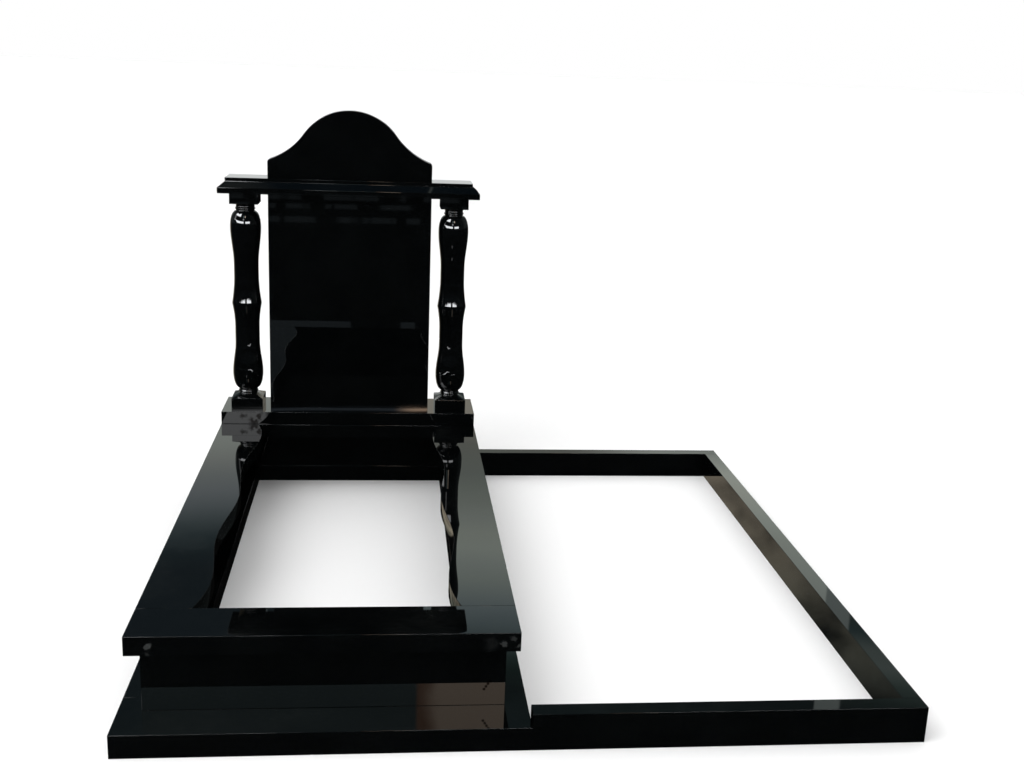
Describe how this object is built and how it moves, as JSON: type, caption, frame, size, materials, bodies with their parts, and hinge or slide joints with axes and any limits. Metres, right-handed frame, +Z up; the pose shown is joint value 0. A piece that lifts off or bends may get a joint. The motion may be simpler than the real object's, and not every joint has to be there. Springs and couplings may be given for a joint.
{
  "type": "kerbed memorial",
  "caption": "Polished black granite kerbed memorial: raised grave surround with a wavy planting bed, headstone with columns and pediment, and a second kerbed plot beside it.",
  "frame": {"origin": "on the ground, in the middle of the whole memorial's outline", "axes": "+Z up, +Y from the foot of the grave towards the headstone, +X towards the open kerbed plot"},
  "size_m": [1.895, 1.975, 1.3593],
  "materials": {
    "surround_granite": "mirror polished black granite",
    "headstone_granite": "mirror polished black granite",
    "kerb_granite": "mirror polished black granite"
  },
  "bodies": {
    "root": {"base_front": "surround_granite", "base_left": "surround_granite", "base_right": "surround_granite", "base_rear": "surround_granite", "riser_front": "surround_granite", "riser_left": "surround_granite", "riser_right": "surround_granite", "riser_rear": "surround_granite", "cover_front": "surround_granite", "cover_left": "surround_granite", "cover_right": "surround_granite", "cover_rear": "surround_granite", "headstone_plinth": "headstone_granite", "column_left": "headstone_granite", "column_right": "headstone_granite", "tablet": "headstone_granite", "beam": "headstone_granite", "pediment": "headstone_granite", "kerb_front": "kerb_granite", "kerb_right": "kerb_granite", "kerb_rear": "kerb_granite"}
  },
  "joints": []
}
